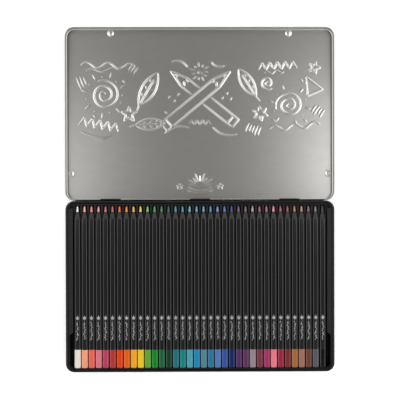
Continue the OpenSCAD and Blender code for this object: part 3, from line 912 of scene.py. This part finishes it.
pencilShape = {
    "length": 175.0, "axisZ": 9.2594, "cornerRadius": 1.874, "cornerReach": 1.762,
    "arcCells": 10, "flatCells": 5, "coneRings": 9, "endRings": 8,
    "lead": [(0.0, 0.0), (0.02, 0.2), (0.1, 0.38), (0.3, 0.56), (0.7, 0.72), (1.6, 0.88), (3.0, 1.05),
             (4.6, 1.21), (6.1, 1.35)],
    "shoulder": 0.08, "ogive": 1.4, "scallopFrom": 13.4, "scallop": 2.2, "bodyStops": (20.4, 60.0, 100.0),
    "lacquerThin": 0.03, "dipLength": 20.0, "dipUneven": 0.15, "dipUnder": 0.02,
    "dipEdge": [(0.008, 0.06), (0.0, 0.4)], "endRound": 1.35, "endFlat": (0.5, 0.0),
}
paints = [
    ("Ivory", (226, 220, 206)), ("Peach", (232, 158, 122)), ("Salmon", (222, 104, 92)),
    ("Pink", (210, 118, 128)), ("Rose", (176, 70, 96)), ("Crimson", (172, 62, 58)),
    ("Vermilion", (216, 70, 32)), ("Orange", (214, 100, 14)), ("Amber", (232, 160, 50)),
    ("Yellow", (226, 192, 46)), ("Lime", (96, 160, 62)), ("Green", (30, 130, 50)),
    ("SeaGreen", (42, 98, 66)), ("Fir", (22, 66, 48)), ("Petrol", (46, 110, 120)),
    ("Turquoise", (32, 128, 128)), ("Lagoon", (78, 154, 166)), ("Sky", (42, 130, 176)),
    ("Slate", (88, 128, 140)), ("Cerulean", (52, 114, 146)), ("Periwinkle", (84, 118, 174)),
    ("Blue", (60, 84, 148)), ("Navy", (28, 50, 96)), ("Violet", (84, 54, 98)),
    ("Plum", (94, 58, 86)), ("Mauve", (146, 130, 138)), ("Burgundy", (120, 60, 74)),
    ("Magenta", (154, 60, 96)), ("Coral", (222, 120, 134)), ("Carmine", (148, 48, 68)),
    ("Oxblood", (118, 54, 56)), ("Ochre", (158, 106, 60)), ("RoseWood", (154, 108, 94)),
    ("Umber", (108, 68, 60)), ("Grey", (88, 90, 94)), ("Black", (34, 32, 34)),
]
printShape = {
    "start": 117.9, "lift": 0.015, "stemStart": 6.2, "stemLength": 19.8, "swing": 0.55, "waves": 2.4,
    "line": 0.26, "leaves": 13, "leaf": (2.1, 0.4), "leafAngles": (118, 62), "leafUneven": 0.3,
    "sprout": [((0, -0.4), (0, 4.9), 0.56), ((-0.3, 5), (-1.75, 0.8), 0.5), ((0.3, 5), (1.75, 0.8), 0.5)],
}


def pencilSection():
    # outline of the rounded triangle, flat side up, and the way each point faces
    def toward(angles):
        return np.stack([np.cos(angles), np.sin(angles)], axis=-1)

    reach, radius, points, facing = pencilShape["cornerReach"], pencilShape["cornerRadius"], [], []
    flat = np.arange(1, pencilShape["flatCells"])[:, None] / pencilShape["flatCells"]
    for corner in np.radians([-90, 30, 150]):
        way = toward(corner + np.linspace(-1, 1, pencilShape["arcCells"] + 1) * math.pi / 3)
        bend = reach * toward(corner) + radius * way
        end = reach * toward(corner + 2 * math.pi / 3) + radius * way[-1]
        points += [bend, bend[-1] + (end - bend[-1]) * flat]
        facing += [way, np.broadcast_to(way[-1], (len(flat), 2))]
    return np.concatenate(points), np.concatenate(facing)


sectionPoints, sectionFacing = pencilSection()


def ribbon(points, width):
    # quads along a line
    along = np.gradient(points, axis=0)
    side = np.stack([-along[:, 1], along[:, 0]], axis=1) / np.linalg.norm(along, axis=1)[:, None] * width / 2
    left, right = points + side, points - side
    return list(np.stack([right[:-1], right[1:], left[1:], left[:-1]], axis=1))


def blade(start, end, width):
    # a leaf: pointed at both ends
    return aside(start, end, np.array([0, 0.45, 1, 0.45]), np.array([0, -width, 0, width]))


def pencilPrint(chance):
    # silver ornament on the upper flat: a sprout of three blades, then a stem with loose leaves
    quads = [blade(*shape) for shape in printShape["sprout"]]
    start, run = printShape["stemStart"], printShape["stemLength"]
    t = np.linspace(0, 1, 34)
    curl = printShape["swing"] * np.sin(2 * math.pi * (printShape["waves"] * t + chance.random()))
    curl *= 0.6 + 0.4 * t
    quads += ribbon(np.stack([curl, start + run * t], axis=1), printShape["line"])
    length, width = printShape["leaf"]
    for k in range(printShape["leaves"]):
        share = min(0.97, (k + 0.15 + 0.6 * chance.random()) / printShape["leaves"])
        root = (float(np.interp(share, t, curl)), start + run * share)
        a = math.radians(printShape["leafAngles"][k % 2]) + printShape["leafUneven"] * (chance.random() - 0.5)
        reach = length * (0.7 + 0.5 * chance.random())
        quads.append(blade(root, (root[0] + reach * math.cos(a), root[1] + reach * math.sin(a)), width))
    return quads


def makePencil(index):
    shape = pencilShape
    label, rgb = paints[index]
    nodeName = "pencil_%02d" % (index + 1)
    low, high = partBox(nodeName)
    centreX, tipY, length, thin = (low[0] + high[0]) / 2, high[1], shape["length"], shape["lacquerThin"]
    chance = random.Random(100 + index)
    dipAt = length - shape["dipLength"] + chance.uniform(-1, 1) * shape["dipUneven"]

    def cross(inset, along, size=1.0):
        p = (sectionPoints - sectionFacing * inset) * size
        return np.column_stack([p, np.full(len(p), along)])

    body = cross(thin, 0.0)
    reach, turn = np.hypot(body[:, 0], body[:, 1]), np.arctan2(body[:, 1], body[:, 0])

    def ring(r, along):
        return np.column_stack([r * np.cos(turn), r * np.sin(turn), np.broadcast_to(along, len(turn))])

    leadReach, leadEnd = shape["lead"][-1]
    scallop = shape["scallopFrom"] + shape["scallop"] * (reach - reach.min()) / (reach.max() - reach.min())
    leadRings = [ring(r, along) for along, r in shape["lead"]]
    # sharpened wood: swells from the lead to the section, sooner on the flats than on the corners
    woodRings, shoulder = [ring(leadEnd, leadReach)], leadEnd + shape["shoulder"]
    for share in np.linspace(0, 1, shape["coneRings"]):
        swollen = shoulder + (reach - shoulder) * (1 - (1 - share) ** shape["ogive"])
        woodRings.append(ring(swollen, leadReach + (scallop - leadReach) * share))
    seam, r = dipAt - shape["dipUnder"], shape["endRound"]
    bodyRings = [woodRings[-1]] + [cross(thin, along) for along in (*shape["bodyStops"], seam)]
    dipRings = [cross(thin, seam)] + [cross(inset, dipAt + past) for inset, past in shape["dipEdge"]]
    for b in np.linspace(0, math.pi / 2, shape["endRings"]):
        dipRings.append(cross(r * (1 - math.cos(b)), length - r * (1 - math.sin(b))))
    dipRings += [cross(r, length, size) for size in shape["endFlat"]]

    def inPlace(points):
        return np.array([centreX, tipY, shape["axisZ"]]) + points[..., [0, 2, 1]] * [1, -1, 1]

    part = newPart()
    for slot, rings in enumerate((leadRings, woodRings, bodyRings, dipRings)):
        addGrid(part, inPlace(np.stack(rings, axis=1)), slot, loop=True)
    flatZ = sectionPoints[:, 1].max() - thin + printShape["lift"]
    marks = [[(u, flatZ, printShape["start"] + v) for u, v in quad] for quad in pencilPrint(chance)]
    addQuads(part, inPlace(np.array(marks)), 4)
    lead, dip = makePaint("lead" + label, leadLook, rgb), makePaint("dip" + label, dipLook, rgb)
    materials = [lead, dyedWood, pencilLacquer, dip, silverPrint]
    return finishPart("pencil%02d" % (index + 1), part, materials, nodeName, nodeName, 32)


pencils = [makePencil(index) for index in range(rowCount)]
print("pencils:", len(pencils), "with", len(pencils[0].data.polygons), "faces each")


studio = {
    "cameraAt": (-0.0066, 0.0980, 0.85), "cameraTurn": (-0.3242, -0.4499, -0.1297), "lens": 69.94,
    "floor": 3.0, "floorZ": -0.0003, "floorColour": 0.93, "floorSeen": 0.45,
    # the strip of floor under the gap between lid and base, painted darker as shade
    "gapY": 0.0925, "gapRange": (0.004, 0.008), "gapEnds": (0.134, 0.142),
    "overhead": 0.078, "darkWide": 0.6, "darkLong": 0.72, "darkCore": 0.55, "sides": 1.7, "ends": 0.55,
    "aroundRange": (0.0, 0.6), "lowRange": (0.45, 0.08), "lowDown": 0.42,
    "rightBox": ((0.363, 0.17, 0.6), (0.3, 0.22), 0.325),
    "leftBox": ((-0.34, 0.155, 0.6), (0.3, 0.224), 0.165),
}


def addObject(name, data, at=(0, 0, 0)):
    added = bpy.data.objects.new(name, data)
    added.location = at
    bpy.context.scene.collection.objects.link(added)
    return added


def makeFloor():
    mesh = bpy.data.meshes.new("studioFloor")
    r, z = studio["floor"], studio["floorZ"]
    mesh.from_pydata([(-r, -r, z), (r, -r, z), (r, r, z), (-r, r, z)], [], [(0, 1, 2, 3)])
    material, tree, shader = newMaterial("paleFloor", {
        "Base Color": (*[studio["floorColour"]] * 3, 1), "Emission Color": (1, 1, 1, 1), "Roughness": 0.9,
        "Specular IOR Level": 0.0})
    # added white for the camera and for what mirrors or lets it through, but none between lid and base: the
    # floor stays darker there as painted shade in the gap
    at = axes(tree, onObject(tree))
    clear = fitRange(tree, maths(tree, "ABSOLUTE", minus(tree, at[1], studio["gapY"])), *studio["gapRange"])
    clear = larger(tree, clear, fitRange(tree, maths(tree, "ABSOLUTE", at[0]), *studio["gapEnds"]))
    path = put(tree, "ShaderNodeLightPath").outputs
    seen = larger(tree, path["Is Glossy Ray"], path["Is Transmission Ray"])
    seen = times(tree, times(tree, larger(tree, path["Is Camera Ray"], seen), clear), studio["floorSeen"])
    tree.links.new(seen, shader.inputs["Emission Strength"])
    mesh.materials.append(material)
    floor = addObject("studioFloor", mesh)


def makeSky():
    # a soft tent: dark straight overhead, where the camera stands, and bright all around
    world = bpy.data.worlds.new("softTent")
    bpy.context.scene.world = world
    world.use_nodes = True
    tree = world.node_tree
    tree.nodes.clear()
    way = axes(tree, put(tree, "ShaderNodeTexCoord").outputs["Generated"])
    across = maths(tree, "DIVIDE", way[0], studio["darkWide"])
    along = maths(tree, "DIVIDE", way[1], studio["darkLong"])
    out = maths(tree, "SQRT", timesPlus(tree, across, across, times(tree, along, along)))
    wide = times(tree, way[0], way[0])
    flat = larger(tree, timesPlus(tree, way[1], way[1], wide), 0.0001)
    around = maths(tree, "DIVIDE", wide, flat)
    around = fitRange(tree, around, *studio["aroundRange"], studio["ends"], studio["sides"])
    lifted, overhead = fitRange(tree, out, studio["darkCore"], 1.0), studio["overhead"]
    bright = timesPlus(tree, minus(tree, around, overhead), lifted, overhead)
    bright = times(tree, bright, fitRange(tree, way[2], *studio["lowRange"], 1.0, studio["lowDown"]))
    bright = larger(tree, bright, maths(tree, "LESS_THAN", way[2], 0.0))
    # the camera sees plain white
    seen = put(tree, "ShaderNodeLightPath").outputs["Is Camera Ray"]
    strength = timesPlus(tree, minus(tree, 1.0, seen), bright, seen)
    back = put(tree, "ShaderNodeBackground", {"Color": (1, 1, 1, 1), "Strength": strength})
    tree.links.new(back.outputs[0], put(tree, "ShaderNodeOutputWorld").inputs[0])


def makeSoftbox(name):
    # one on each side of the lid, facing down: the tin brightens towards its sides
    at, size, power = studio[name]
    data = bpy.data.lights.new(name, "AREA")
    data.shape, data.size, data.size_y, data.energy = "RECTANGLE", *size, power
    addObject(name, data, at).visible_camera = False


def makeCamera():
    data = bpy.data.cameras.new("overheadCamera")
    data.lens, data.sensor_width = studio["lens"], 36.0
    data.clip_start, data.clip_end = 0.01, 20
    camera = addObject("overheadCamera", data, studio["cameraAt"])
    camera.rotation_euler = [math.radians(a) for a in studio["cameraTurn"]]
    bpy.context.scene.camera = camera


makeFloor()
makeSky()
makeSoftbox("rightBox")
makeSoftbox("leftBox")
makeCamera()
bpy.context.scene.view_settings.view_transform = "Standard"
print("studio ready")

bpy.context.view_layer.update()
